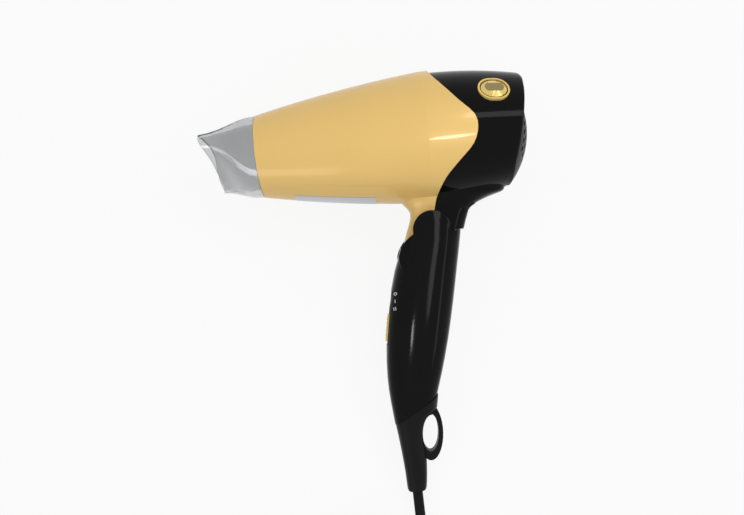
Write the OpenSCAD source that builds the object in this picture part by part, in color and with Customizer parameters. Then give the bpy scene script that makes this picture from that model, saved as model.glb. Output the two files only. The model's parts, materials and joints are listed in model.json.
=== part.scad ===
// Folding travel hair dryer, lying on its right side with its flat cord coiled beside it.
// Every piece is drawn upright, with the barrel along X, its nozzle towards -X, the handle towards -Y
// and the plane of symmetry at Z = 0. lay() then puts it down on the surface that it lies on.

/* [Barrel] */
// Largest radius of the barrel
barrel_r = 36.4; // [34:0.1:39]
// Radius of the barrel at its front end
barrel_front_r = 22.9; // [22:0.1:25]
// Length of the barrel from its front end to its largest radius
barrel_l = 97; // [90:1:110]
// Rise of the barrel's outline over a straight cone
barrel_crown = 1.4; // [1:0.1:2.6]
// Wall of the moulded shells
wall = 2; // [1.6:0.1:2.4]
// How far the barrel's tongue reaches back over the rear housing
tongue_l = 20; // [16:1:24]

/* [Rear housing] */
// Step from the barrel's surface down to the housing
housing_step = 1.1; // [0.3:0.1:1.4]
// Length of the housing behind the barrel's largest radius
housing_l = 50; // [48:1:58]
// Radius of the housing at its rear end
housing_rear_r = 29.8; // [29:0.1:32]
// Rise of the housing's outline over a straight cone
housing_crown = 1.6; // [0.6:0.1:2]
// Rounding of the housing's rear edge
housing_edge = 3; // [1:0.5:4]
// Gap along the seam between barrel and housing
seam_gap = 0.2; // [0.1:0.05:0.4]

/* [Intake grille] */
// Slant of the intake, which faces back and down
intake_slant = 13; // [8:1:16]
// Radius of the grille
grille_r = 29.6; // [28:0.1:30]
// Radius of the grille's dome
grille_ball_r = 46; // [42:0.5:52]
// Rearmost point of the grille along the barrel
grille_tip_x = 51.5; // [50.5:0.1:52.5]
// Thickness of the grille
grille_t = 1.8; // [1.2:0.1:2.4]
// Diameter of a grille hole
grille_hole_d = 2.8; // [2:0.1:3.2]
// Spacing of the grille holes
grille_pitch = 4.5; // [4.2:0.1:6]

/* [Nozzle] */
// Length of the nozzle in front of the barrel
nozzle_l = 30; // [24:1:40]
// Half length of the mouth
mouth_a = 21; // [18:0.5:24]
// Half width of the mouth
mouth_b = 6; // [4.5:0.5:9]
// How far the lips of the mouth draw back between its ends
mouth_sag = 5; // [2:0.5:7]
// Turn of the mouth about the barrel, from upright
mouth_turn = 57; // [0:1:180]
// Wall of the nozzle
nozzle_wall = 1.6; // [1.2:0.1:2.2]
// Radius of the collar that plugs into the barrel
collar_r = 20.4; // [19.4:0.1:20.8]
// Length of the collar
collar_l = 9; // [6:0.5:12]

/* [Hinge] */
// Hinge axis along the barrel
hinge_x = -7.5; // [-10:0.5:-5]
// Hinge axis below the barrel's axis
hinge_drop = 51.5; // [51:0.5:56]
// Radius of the hinge pin
pin_r = 3.5; // [2.5:0.1:4.5]
// Running clearance of the pin
pin_fit = 0.06; // [0.03:0.01:0.1]
// Radius of the handle's ears
ear_r = 10.4; // [9.5:0.1:11]
// Half thickness of the neck
neck_t = 10.6; // [9.5:0.1:11.2]
// Thickness of the washers between neck and ears
washer_t = 0.5; // [0.3:0.1:1]
// Radius of the neck's knuckle about the pin
knuckle_r = 13; // [12:0.1:13.4]
// Radius of the neck's front tip about the pin
neck_tip_r = 16.2; // [15:0.1:17]
// Greatest fold of the handle
fold_max = 70; // [0:1:72]

/* [Handle] */
// Top section: drop below the hinge axis, front edge, rear edge, half thickness
grip_top = [-11.4, -17, 19.4, 14.8]; // [-60:0.1:160]
// Shoulder section
grip_shoulder = [5.5, -17, 16, 15.4]; // [-60:0.1:160]
// Section above the switch
grip_upper = [20.5, -22.5, 12.7, 15]; // [-60:0.1:160]
// Section through the switch
grip_switch = [40.5, -28.2, 8.2, 14.6]; // [-60:0.1:160]
// Widest section of the palm swell
grip_palm = [60.5, -31.6, 3.2, 13.7]; // [-60:0.1:160]
// Section below the palm
grip_lower = [78.5, -33.1, -2.2, 12.4]; // [-60:0.1:160]
// Section at the strain relief
grip_end = [92.5, -32.8, -7, 10.9]; // [-60:0.1:160]
// Section past the strain relief's seam
grip_past = [112, -31.2, -13, 9.2]; // [-60:0.1:160]
// Slant of the seam at the strain relief
relief_slant = 29; // [15:1:35]
// Radius of a handle screw's boss
boss_r = 3.2; // [2.6:0.1:4]

/* [Switch] */
// Drop of the switch below the hinge axis
switch_drop = 45.5; // [40:0.5:50]
// Length of the switch bezel
bezel_l = 30; // [26:0.5:34]
// Width of the switch bezel
bezel_w = 11; // [9:0.5:13]
// Thickness of the switch bezel
bezel_t = 1.2; // [1:0.1:1.6]
// Depth of the bezel's face below the grip
bezel_depth = 1; // [0.6:0.1:1.6]
// Length of the slider
slider_l = 15; // [12:0.5:16]
// Width of the slider
slider_w = 8.4; // [6:0.2:9]
// Travel from off to high
slider_travel = 8; // [6:0.5:10]

/* [Button] */
// Place of the button along the barrel
button_x = 31.2; // [29:0.1:34]
// Height angle of the button above the side of the housing
button_angle = 31; // [20:1:45]
// Length of the button's rim
rim_l = 17; // [15:0.2:18]
// Width of the button's rim
rim_w = 14.6; // [13:0.2:14.8]
// Width of the rim's band
rim_band = 1; // [0.8:0.1:1.4]
// Travel of the button
button_travel = 1.2; // [0.8:0.1:1.6]

/* [Strain relief] */
// End of the strain relief below the hinge axis
relief_end = 143; // [136:1:150]
// Half thickness of the strain relief at its end
relief_tip_t = 6; // [5.6:0.1:7]
// Half width of the strain relief at its end
relief_tip_w = 5.4; // [5:0.1:6.5]
// Drop of the hang loop's centre below the hinge
loop_drop = 111.7; // [109:0.1:114]
// Set of the hang loop's centre in front of the hinge
loop_front = 12.7; // [12:0.1:14]
// Half width of the hang loop's hole
loop_hole_a = 4.5; // [3.8:0.1:4.8]
// Half length of the hang loop's hole
loop_hole_b = 10.5; // [9:0.1:11]
// Width of the hang loop's bar
loop_bar = 2.5; // [2:0.1:3.2]
// Half thickness of the hang loop
loop_t = 3.2; // [2.4:0.1:4]

/* [Cord] */
// Width of the flat cord
cord_w = 5.8; // [5.4:0.1:6.2]
// Thickness of the flat cord
cord_t = 3.5; // [3.2:0.1:3.8]
// Turns in the coil
coil_turns = 7.25; // [5.25:1:8.25]
// Radius of the coil's inmost turn
coil_inner_r = 24; // [22:0.5:28]
// Gap between the turns
coil_gap = 0.6; // [0.55:0.05:1]
// Thickness of the coil's tie
tie_t = 1; // [0.8:0.1:1.6]
// Width of the coil's tie
tie_w = 9; // [6:0.5:10]

/* [Plug] */
// Diameter of a plug pin
plug_pin_d = 4.8; // [4:0.1:4.8]
// Length of a plug pin
plug_pin_l = 19; // [18:0.1:19]
// Spacing of the plug pins
plug_pin_gap = 19; // [18.6:0.1:19.2]
// Width of the plug
plug_w = 34; // [30:0.5:38]
// Thickness of the plug
plug_t = 15; // [13:0.5:18]
// Length of the plug's body
plug_l = 27; // [24:0.5:32]

/* [Motor and fan] */
// Radius of the motor can
motor_r = 13.85; // [12:0.05:14]
// Length of the motor can
motor_l = 36; // [30:0.5:38]
// Radius of the motor shaft
shaft_r = 1; // [0.8:0.1:1.5]
// Rear end of the motor can along the barrel
motor_rear_x = 4; // [0:0.5:6]
// Radius of the fan over its blades
fan_r = 31; // [28:0.1:31.5]
// Length of the fan's hub
fan_l = 13; // [10:0.5:14]
// Number of fan blades
fan_blades = 7; // [5:1:9]
// Number of guide vanes in the motor mount
vanes = 6; // [4:1:8]

/* [Heater] */
// Gap between the mica boards and the rectifier board's parts
heater_gap = 1.2; // [0.8:0.1:3]
// Half width of the mica boards
mica_r = 17; // [14:0.5:17.5]
// Thickness of the mica
mica_t = 0.8; // [0.5:0.1:1.2]
// Turns of the heating coil
heater_turns = 8; // [5:1:10]
// Radius of the heating wire
heater_wire_r = 0.6; // [0.4:0.05:0.8]

/* [Hidden] */
$fn = 64;
// Facets of a curve drawn with a large radius
fine = 240;
// Clearance between pieces that seat in one another
seat = 0.15;
// Gap between pieces that bear on one another
touch = 0.05;
// Clearance between pieces that move past one another
clear = 0.4;
// Overshoot of a cut
over = 1;
// Half length of a cut that goes right through
through = 80;

gold = "#E2BD72";
black = "#141414";
smoke = [0.8, 0.8, 0.8, 0.5];
brass = "#C9A24A";
steel = "#B8BCC0";
mica = "#C8B89A";
rubber = "#1B1B1B";
dark = "#2B2B2B";
lead_red = "#B03A2E";

// Sums of a curve through points, as a smooth cubic with four neighbours
function cubic(a, b, c, d, t) =
  0.5 * (2 * b + (c - a) * t + (2 * a - 5 * b + 4 * c - d) * t * t + (3 * b - a - 3 * c + d) * t * t * t);
function smooth_line(p, n) = [
  for (i = [0 : len(p) - 2])
    for (k = [0 : n - 1])
      cubic(p[max(i - 1, 0)], p[i], p[i + 1], p[min(i + 2, len(p) - 1)], k / n),
  p[len(p) - 1]
];
function ease(t) = let (u = min(max(t, 0), 1)) u * u * (3 - 2 * u);
function unit(v) = v / norm(v);
function turn(a) = [[cos(a), -sin(a)], [sin(a), cos(a)]];

// Outlines of the barrel and the housing: each is an arc, given by its centre [radius, x] and its radius
function arc_radius(a, b, rise) = (norm(b - a) ^ 2) / (8 * rise) + rise / 2;
function arc_centre(a, b, rise) =
  let (d = unit(b - a)) (a + b) / 2 - [d.y, -d.x] * (arc_radius(a, b, rise) - rise);
// The two arcs meet in front of the seam
join_x = -6;
barrel_a = [barrel_front_r, -barrel_l];
barrel_b = [barrel_r, join_x];
barrel_arc_r = arc_radius(barrel_a, barrel_b, barrel_crown);
barrel_arc_c = arc_centre(barrel_a, barrel_b, barrel_crown);
housing_a = [barrel_r - housing_step, join_x];
housing_b = [housing_rear_r, housing_l];
housing_arc_r = arc_radius(housing_a, housing_b, housing_crown);
housing_arc_c = arc_centre(housing_a, housing_b, housing_crown);
function barrel_at(x) = barrel_arc_c.x + sqrt(barrel_arc_r ^ 2 - (x - barrel_arc_c.y) ^ 2);
function housing_at(x) = housing_arc_c.x + sqrt(housing_arc_r ^ 2 - (x - housing_arc_c.y) ^ 2);

// Places along the barrel
front_x = -barrel_l;
seat_x = front_x + collar_l + 1;
collar_bore_r = collar_r + 0.1;
guard_t = 2.4;
mica_x = seat_x + guard_t + seat;
fan_x = motor_rear_x + 5;
mount_x = motor_rear_x - motor_l - 1;
mount_l = 22;
hub_wall = 1.4;
board_x = mount_x - 1.6;
board_part_h = 2.4;
mica_tail = 6;
mica_l = board_x - board_part_h - heater_gap - mica_tail - mica_x;

// The hinge and the lie of the part
hinge = [hinge_x, -hinge_drop];
ear_in = neck_t + washer_t + 2 * touch;
stop_y = -hinge_drop - 1.2;
relief_y = -hinge_drop - relief_end;
relief_x = hinge_x - 23.5;
relief_round = 1.2;
lie_y = relief_y + relief_round;
roll = asin(barrel_r / norm([lie_y, relief_tip_t])) - atan(relief_tip_t / -lie_y);
nozzle_tip_x = front_x - 0.3 - nozzle_l;
intake_c = [43, -2.5];
grille_edge = 0.9;
shift_x = -(nozzle_tip_x + grille_tip_x) / 2;
shift_y = -(barrel_r + relief_y * cos(roll) - (relief_tip_t - 0.8) * sin(roll)) / 2;
function lay_dir(v) = [v.x, v.y * cos(roll) - v.z * sin(roll), v.y * sin(roll) + v.z * cos(roll)];
function lay_point(p) = lay_dir(p) + [shift_x, shift_y, barrel_r];
module lay() translate([shift_x, shift_y, barrel_r]) rotate([roll, 0, 0]) children();

// A solid through rings of points, closed at both ends, or round again to the first ring
module loft(rings, ring_shut = false) {
  n = len(rings[0]);
  m = len(rings);
  last = ring_shut ? m - 1 : m - 2;
  sides = [
    for (i = [0 : last])
      for (j = [0 : n - 1])
        let (
          next = (j + 1) % n,
          up = ((i + 1) % m) * n
        )
          each [[i * n + j, i * n + next, up + next], [i * n + j, up + next, up + j]]
  ];
  ends = ring_shut ? [] : [
    for (j = [1 : n - 2]) each [[0, j + 1, j], [(m - 1) * n, (m - 1) * n + j, (m - 1) * n + j + 1]]
  ];
  polyhedron(points = [for (r = rings) each r], faces = concat(sides, ends));
}

// Rounded cross section at height y, from front edge to rear edge
function power(v, e) = sign(v) * abs(v) ^ (2 / e);
function section(row, n, e) = let (mid = (row[1] + row[2]) / 2, half = (row[2] - row[1]) / 2) [
  for (j = [0 : n - 1])
    [mid + half * power(cos(360 * j / n), e), row[0], -row[3] * power(sin(360 * j / n), e)]
];
module sections(rows, n, e) loft([for (r = rows) section(r, n, e)]);

// A body turned about the barrel's axis, from a profile of [radius, x]
module turned() rotate([0, 90, 0]) rotate_extrude($fn = 96) children();
module tube_x(r, x0, x1) translate([x0, 0, 0]) rotate([0, 90, 0]) cylinder(r = r, h = x1 - x0);
// Both profiles lie d below the largest radius where they meet
module barrel_profile(d, x0, x1) intersection() {
  translate(barrel_arc_c) circle(r = norm(barrel_b - [d, 0] - barrel_arc_c), $fn = fine);
  translate([0, x0]) square([barrel_r + over, x1 - x0]);
}
module housing_profile(d, x0, x1) intersection() {
  translate(housing_arc_c) circle(r = norm(barrel_b - [d, 0] - housing_arc_c), $fn = fine);
  translate([0, x0]) square([barrel_r + over, x1 - x0]);
}

// The housing's profile with its rear edge rounded
edge_c_x = housing_l - housing_edge;
edge_c_r = housing_arc_c.x + sqrt((housing_arc_r - housing_edge) ^ 2 - (edge_c_x - housing_arc_c.y) ^ 2);
edge_dir = unit([edge_c_r, edge_c_x] - housing_arc_c);
module rounded_housing() {
  housing_profile(housing_step, join_x, edge_c_x + housing_edge * edge_dir.y);
  translate([0, edge_c_x]) square([edge_c_r, housing_edge]);
  translate([edge_c_r, edge_c_x]) circle(r = housing_edge);
}

// The seam between barrel and housing, from the top of the barrel down through the hinge
seam_line = smooth_line([
  [-1.2, barrel_r + 6], [-0.2, 0.89 * barrel_r], [0.15 * tongue_l, 0.69 * barrel_r],
  [0.57 * tongue_l, 0.36 * barrel_r], [0.93 * tongue_l, 0.13 * barrel_r],
  [tongue_l, -0.06 * barrel_r], [0.85 * tongue_l, -0.29 * barrel_r],
  [0.46 * tongue_l, -0.5 * barrel_r], [0.1 * tongue_l, -0.7 * barrel_r],
  [-2.4, -0.91 * barrel_r], [-4.6, -barrel_r - 4], hinge + [0.6, 0], hinge - [1.4, 30]
], 3);
module behind_seam(gap) linear_extrude(2 * through, center = true)
  translate([gap, 0]) polygon(concat(seam_line, [[through, -through], [through, through], [1, through]]));

// The neck: it flares into the barrel and ends in a knuckle about the hinge pin
neck_rows = [
  [-barrel_r + 9, -27, 38, 17.5], [-barrel_r + 4, -24.4, 36, 14.6],
  [-barrel_r + 2, -22.2, 34.4, 13.4], [-barrel_r, -20.4, 26.8, 12],
  [-barrel_r - 4, -17.7, 16.8, neck_t], [-barrel_r - 9, -18.4, 13.8, neck_t],
  [-hinge_drop, -20.9, 11.5, neck_t], [-hinge_drop - 9, -24.2, 8.2, neck_t],
  [-hinge_drop - 20, -28, 4.6, neck_t]
];
module neck_outline() {
  translate(hinge) circle(r = knuckle_r);
  intersection() {
    translate(hinge) circle(r = neck_tip_r);
    translate(hinge - [neck_tip_r, 6]) square([neck_tip_r - 6, 20]);
  }
  translate([-through, stop_y]) square([2 * through, through]);
}
module neck_solid() intersection() {
  sections(smooth_line(neck_rows, 2), 30, 3);
  linear_extrude(2 * through, center = true) neck_outline();
}
lead_duct_t = 3.2;
lead_duct_y = -hinge_drop + pin_r + 4;
module neck_cavity() translate([hinge_x - 8, lead_duct_y, -lead_duct_t]) cube([18, 26, 2 * lead_duct_t]);
module pin_bore() at_hinge() cylinder(r = pin_r + pin_fit, h = 2 * through, center = true);

// Two screws pull the halves of the neck together, in from the rear
neck_screw_y = -hinge_drop + 9.5;
neck_screw_z = neck_t - 4.4;
neck_screw_head_x = hinge_x + 13;
neck_screw_l = 20;
screw_r = 1.25;
screw_head_r = 2.5;
screw_head_t = 2;
module at_neck_screws() for (z = [-1, 1])
  translate([neck_screw_head_x, neck_screw_y, z * neck_screw_z]) children();
module neck_screw_holes() at_neck_screws() {
  tube_x(screw_r + touch, -neck_screw_l - 0.5, over);
  tube_x(screw_head_r + seat, 0, through);
}

module head_solid(d) turned() {
  barrel_profile(d, front_x, join_x);
  housing_profile(d, join_x, housing_l);
}
module head_inside(d) turned() {
  barrel_profile(d, seat_x, join_x);
  housing_profile(d, join_x, housing_l + over);
}

module barrel_shell() color(gold) lay() difference() {
  union() {
    head_solid(0);
    neck_solid();
  }
  head_inside(wall);
  tube_x(collar_bore_r, front_x - over, seat_x + over);
  neck_cavity();
  neck_screw_holes();
  pin_bore();
  behind_seam(-seam_gap / 2);
}

// The slanted intake plane, with its axis along local X
module at_intake() translate([intake_c.x, intake_c.y, 0]) rotate([0, 0, -intake_slant]) children();
module at_button() translate([button_x, 0, 0]) rotate([-button_angle, 0, 0])
  translate([0, 0, housing_at(button_x)]) rotate([0, button_tilt, 0]) children();
button_tilt = asin((button_x - housing_arc_c.y) / housing_arc_r);
module oval(l, w, h) {
  for (x = [-1, 1]) translate([x * (l - w) / 2, 0, 0]) cylinder(d = w, h = h);
  translate([(w - l) / 2, -w / 2, 0]) cube([l - w, w, h]);
}

module rear_housing() color(black) lay() difference() {
  intersection() {
    union() {
      turned() {
        barrel_profile(housing_step, front_x, join_x);
        rounded_housing();
      }
      neck_solid();
    }
    behind_seam(seam_gap / 2);
  }
  head_inside(wall + housing_step);
  at_intake() translate([0, -through, -through]) cube(2 * through);
  neck_cavity();
  neck_screw_holes();
  pin_bore();
  at_button() {
    translate([0, 0, -rim_sink]) oval(rim_l + 2 * seat, rim_w + 2 * seat, 6);
    translate([0, 0, -8]) rim_opening(12);
  }
}

// Domed intake grille: a ball's cap about the barrel's axis, in a flange on the slanted plane
grille_spigot_r = 27.4;
grille_spigot_t = 1.6;
grille_spigot_l = 4;
grille_well_l = 8;
grille_high = 14;
grille_rows = floor(grille_r / grille_pitch) + 1;
module grille_ball(d) translate([grille_tip_x - grille_ball_r, 0, 0])
  sphere(r = grille_ball_r - d, $fn = fine);
module grille_seat() {
  difference() {
    union() {
      tube_x(grille_spigot_r, -grille_spigot_l, 0.2 + grille_edge);
      tube_x(grille_r, 0.2, 0.2 + grille_edge);
    }
    tube_x(grille_spigot_r - grille_spigot_t, -grille_spigot_l - over, 0.2 + grille_edge + over);
  }
}
// The wall down to the dome where the dome lies below the rim
module grille_well() difference() {
  at_intake() tube_x(grille_spigot_r, -grille_well_l, 0.2);
  at_intake() tube_x(grille_spigot_r - grille_spigot_t, -grille_well_l - over, 0.2 + over);
  grille_ball(grille_t);
}
module grille_dome() intersection() {
  difference() {
    grille_ball(0);
    grille_ball(grille_t);
  }
  at_intake() {
    tube_x(grille_spigot_r, -grille_well_l, grille_high);
    tube_x(grille_r - 0.6, 0.2, grille_high);
  }
}
module intake_grille() color(black) lay() difference() {
  union() {
    at_intake() grille_seat();
    grille_well();
    grille_dome();
  }
  at_intake() for (i = [-grille_rows : grille_rows])
    for (k = [-grille_rows : grille_rows])
      let (y = grille_pitch * (i + 0.5 * (k % 2)), z = grille_pitch * k * sqrt(3) / 2)
        if (norm([y, z]) < grille_spigot_r - grille_spigot_t - grille_hole_d)
          translate([0, y, z]) tube_x(grille_hole_d / 2, -grille_well_l - over, grille_high + over);
}

// Concentrator nozzle: a round base drawn out into a flat mouth with concave lips
nozzle_sides = 40;
nozzle_steps = 6;
nozzle_base_x = front_x - 0.3;
function nozzle_ring(u, d, r0) = let (
  a = (1 - u) * r0 + u * (mouth_a - d),
  b = (1 - ease(u)) * r0 + ease(u) * (mouth_b - d),
  e = 2 + 0.8 * u
) [
  for (j = [0 : nozzle_sides - 1])
    let (
      c = power(cos(360 * j / nozzle_sides), e),
      s = power(sin(360 * j / nozzle_sides), e),
      long = a * c,
      short = b * s
    )
      [
        nozzle_base_x - u * (nozzle_l - mouth_sag * (1 - c * c) * u),
        long * cos(mouth_turn) - short * sin(mouth_turn),
        long * sin(mouth_turn) + short * cos(mouth_turn)
      ]
];
module nozzle() color(smoke) lay() {
  loft(concat(
    [for (i = [0 : nozzle_steps]) nozzle_ring(i / nozzle_steps, 0, barrel_front_r - 0.2)],
    [for (i = [nozzle_steps : -1 : 0]) nozzle_ring(i / nozzle_steps, nozzle_wall, collar_r - nozzle_wall - 0.3)]
  ), true);
  difference() {
    tube_x(collar_r, nozzle_base_x - 0.5, nozzle_base_x + collar_l);
    tube_x(collar_r - nozzle_wall, nozzle_base_x - over, nozzle_base_x + collar_l + over);
  }
}

// Guard across the outlet, seated against the collar's shoulder in the barrel
guard_r = barrel_at(seat_x) - wall - seat;
guard_rib = 1.2;
module outlet_guard() color(black) lay() {
  for (r = [guard_r, guard_r * 0.62, guard_r * 0.3]) difference() {
    tube_x(r, seat_x, seat_x + guard_t);
    tube_x(r - 1.4, seat_x - over, seat_x + guard_t + over);
  }
  for (a = [0 : 60 : 300]) rotate([a, 0, 0]) translate([seat_x, guard_r * 0.3 - 0.8, -guard_rib / 2])
    cube([guard_t, guard_r * 0.7, guard_rib]);
}

// Heater: a rolled mica liner round two crossed mica boards that carry the coil
liner_r = guard_r - 0.6;
module mica_liner() color(mica) lay() difference() {
  tube_x(liner_r, mica_x, mica_x + mica_l);
  tube_x(liner_r - mica_t, mica_x - over, mica_x + mica_l + over);
}
module mica_boards() color(mica) lay() for (a = [45, 135]) rotate([a, 0, 0])
  translate([mica_x, -mica_r, -mica_t / 2]) cube([mica_l + mica_tail, 2 * mica_r, mica_t]);
heater_r = mica_r + heater_wire_r + 0.3;
heater_rings = 16;
heater_margin = 3;
function heater_point(k) = let (a = 360 * k / heater_rings)
  [
    mica_x + heater_margin + (mica_l - 2 * heater_margin) * k / (heater_turns * heater_rings),
    heater_r * cos(a), heater_r * sin(a)
  ];
function round_ring(p, dir, r, n) = let (
  u = unit(cross(dir, abs(dir.z) > 0.9 ? [0, 1, 0] : [0, 0, 1])), v = unit(cross(u, dir))
) [for (j = [0 : n - 1]) p + r * (u * cos(360 * j / n) + v * sin(360 * j / n))];
function heading(p, i) = unit(p[min(i + 1, len(p) - 1)] - p[max(i - 1, 0)]);
module wire(p, r, n = 6) loft([for (i = [0 : len(p) - 1]) round_ring(p[i], heading(p, i), r, n)]);
heater_line = [for (k = [0 : heater_turns * heater_rings]) heater_point(k)];
module heating_coil() color(steel) lay() wire(heater_line, heater_wire_r);
// Least distance between points of a wound line that are at least skip steps apart
function least_gap(p, skip) =
  min([for (i = [0 : len(p) - 1 - skip]) for (j = [i + skip : len(p) - 1]) norm(p[i] - p[j])]);
echo(heating_coil_least_gap = least_gap(heater_line, heater_rings - 4) - 2 * heater_wire_r);

// Thermal cutout and fuse, each flat on a mica board
cutout_r = 5;
module on_board() rotate([45, 0, 0]) translate([mica_x, 0, mica_t / 2]) children();
module thermal_cutout() color(steel) lay() on_board() translate([mica_l - 8, 8.6, 0]) {
  cylinder(r = cutout_r, h = 3.4);
  translate([-2, -cutout_r - 3, 0]) cube([4, 2 * cutout_r + 6, 0.5]);
}
module thermal_fuse() color("#D8D8D0") lay() on_board() translate([12, -8, 1.6]) {
  tube_x(1.6, 0, 9);
  tube_x(0.4, -6, 18);
}

// Motor mount: a hub and guide vanes inside a ring that seats in the barrel
module motor_mount() color(dark) lay() {
  difference() {
    turned() barrel_profile(wall + seat, mount_x, mount_x + mount_l);
    turned() barrel_profile(2 * wall + seat, mount_x - over, mount_x + mount_l + over);
  }
  difference() {
    tube_x(motor_r + seat + hub_wall, mount_x, mount_x + mount_l + 6);
    tube_x(motor_r + seat, mount_x + 1, mount_x + mount_l + 6 + over);
    tube_x(motor_r - 3, mount_x - over, mount_x + 2);
  }
  difference() {
    for (i = [0 : vanes - 1]) rotate([360 * (i + 1 / 3) / vanes, 0, 0])
      translate([mount_x + 2, motor_r + hub_wall / 2, -0.7])
        cube([mount_l - 4, barrel_at(mount_x + 2) - wall - 1 - motor_r - hub_wall / 2, 1.4]);
    turned() difference() {
      translate([0, mount_x]) square([barrel_r + over, mount_l]);
      barrel_profile(wall + 1, mount_x - over, mount_x + mount_l + over);
    }
  }
}

module motor_can() color(steel) lay() difference() {
  union() {
    tube_x(motor_r, mount_x + 1, motor_rear_x);
    tube_x(5, motor_rear_x - over, motor_rear_x + 1.8);
  }
  tube_x(shaft_r + pin_fit, mount_x + 6, motor_rear_x + 3);
}
module motor_cap() color("#EDEDE6") lay() {
  tube_x(motor_r - 3 - seat, mount_x, mount_x + 1);
  for (z = [-1, 1]) translate([board_x - 1, -1.2, z * 6 - 0.3]) cube([mount_x - board_x + 1.5, 2.4, 0.6]);
}
module rectifier_board() color("#3C6B3A") lay() {
  difference() {
    tube_x(motor_r - 3 - seat, board_x, mount_x);
    for (z = [-1, 1]) translate([board_x - over, -1.2 - seat, z * 6 - 0.3 - seat])
      cube([mount_x - board_x + 2 * over, 2.4 + 2 * seat, 0.6 + 2 * seat]);
  }
  for (y = [-1, 1]) translate([board_x - board_part_h, y * 5.5 - 1.2, -3]) cube([board_part_h + 0.1, 2.4, 6]);
}
module motor_shaft() color(steel) lay() tube_x(shaft_r, mount_x + 7, fan_x + fan_l - 2);

// Axial fan: a domed hub with cambered blades trimmed to the fan's radius
fan_hub_r = 8.5;
blade_t = 1.2;
blade_camber_r = 24;
blade_pitch = 40;
blade_chord = 16;
module blade_profile() intersection() {
  difference() {
    circle(r = blade_camber_r + blade_t / 2, $fn = fine);
    circle(r = blade_camber_r - blade_t / 2, $fn = fine);
  }
  translate([-blade_chord / 2, 0]) square([blade_chord, blade_camber_r + blade_t]);
}
module fan_blade() translate([fan_x + fan_l / 2, 0, 0]) rotate([0, 90 - blade_pitch, 0])
  rotate([90, 0, 180]) translate([0, -blade_camber_r, fan_hub_r - 2])
    linear_extrude(fan_r - fan_hub_r + 4) blade_profile();
module fan_rotor() color(dark) lay() difference() {
  union() {
    turned() intersection() {
      translate([0, fan_x]) square([fan_hub_r, fan_l]);
      translate([0, fan_x + fan_l - 14]) circle(r = 14);
    }
    intersection() {
      for (i = [0 : fan_blades - 1]) rotate([360 * i / fan_blades, 0, 0]) fan_blade();
      tube_x(fan_r, fan_x, fan_x + fan_l - 1);
    }
  }
  tube_x(shaft_r + 0.02, fan_x - over, fan_x + fan_l - 1.8);
}

// Push button: a faceted jewel in a raised rim, on a carrier behind the housing's wall
rim_rise = 0.6;
jewel_l = rim_l - 2 * rim_band - 2 * clear;
jewel_w = rim_w - 2 * rim_band - 2 * clear;
jewel_rise = 2.6;
stem_l = 3.4;
carrier_r = 9;
carrier_depth = 8.6;
rim_sink = 1.1;
rim_h = rim_sink + rim_rise;
module rim_opening(h) oval(rim_l - 2 * rim_band, rim_w - 2 * rim_band, h);
module button_rim() color(brass) lay() at_button() translate([0, 0, -rim_sink]) difference() {
  oval(rim_l, rim_w, rim_h);
  translate([0, 0, -over]) rim_opening(rim_h + 2 * over);
}
module push_button() color(brass) lay() at_button() {
  hull() {
    translate([0, 0, rim_rise - 1]) linear_extrude(1.2) polygon([
      for (a = [0 : 30 : 330]) [jewel_l / 2 * cos(a), jewel_w / 2 * sin(a)]
    ]);
    translate([0, 0, jewel_rise - 0.2]) linear_extrude(0.2)
      square([jewel_l * 0.6, jewel_w * 0.36], center = true);
  }
  translate([0, 0, spring_top - stem_l]) cylinder(r = 2.4, h = stem_l + 0.4);
}
spring_top = rim_rise - 1;
carrier_foot = wall + carrier_depth;
spring_foot = carrier_foot - 4.6;
switch_foot = carrier_foot - 1.2;
plunger_h = switch_foot + spring_top - stem_l - button_travel - 0.2;
module button_carrier() color(dark) lay() difference() {
  at_button() difference() {
    translate([0, 0, -carrier_foot]) cylinder(r = carrier_r, h = carrier_foot);
    translate([0, 0, -spring_foot - seat]) cylinder(r = carrier_r - 1.6, h = carrier_foot);
    translate([-3.1, -3.1, -switch_foot]) cube([6.2, 6.2, carrier_depth]);
  }
  turned() difference() {
    translate([0, 0]) square([2 * barrel_r, 2 * housing_l]);
    housing_profile(housing_step + wall + touch, -over, 2 * housing_l);
  }
}
module button_switch() color(dark) lay() at_button() {
  translate([-3, -3, -switch_foot]) cube([6, 6, 3.2]);
  translate([0, 0, -switch_foot]) cylinder(r = 1.6, h = plunger_h);
}
spring_turns = 4;
spring_rings = 12;
spring_r = 4.2;
spring_wire_r = 0.35;
spring_line = [
  for (k = [0 : spring_turns * spring_rings])
    [
      spring_r * cos(360 * k / spring_rings), spring_r * sin(360 * k / spring_rings),
      -spring_foot + spring_wire_r
        + (spring_foot + spring_top - 2 * spring_wire_r - 0.1) * k / (spring_turns * spring_rings)
    ]
];
module button_spring() color(steel) lay() at_button() wire(spring_line, spring_wire_r);
echo(button_spring_least_gap = least_gap(spring_line, spring_rings - 3) - 2 * spring_wire_r);

module housing_screws() color(steel) lay() at_neck_screws() {
  tube_x(screw_r, -neck_screw_l, 0);
  tube_x(screw_head_r, 0, screw_head_t);
}

// Leads from the hinge up past the motor to the edges of the mica boards
lead_r = 1.1;
lead_gap = 2.6;
lead_end = (mica_r + lead_r + touch) / sqrt(2);
lead_rise_x = mount_x + mount_l + 3.5;
head_lead_line = [
  [lead_rise_x, lead_duct_y + touch, lead_gap / 2], [lead_rise_x - 1, -barrel_r + 1, lead_gap / 2],
  [lead_rise_x - 3, -barrel_r + 10, 1.5], [mount_x + 14, -23, 2.5], [mount_x + 2, -21, 5],
  [mount_x - 4, -15.5, 10.5], [mica_x + mica_l - 0.5, -lead_end, lead_end]
];
module head_leads() color(lead_red) lay() for (s = [-1, 1])
  wire([for (p = smooth_line(head_lead_line, 3)) [p.x, p.y, s * p.z]], lead_r, 8);

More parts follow.
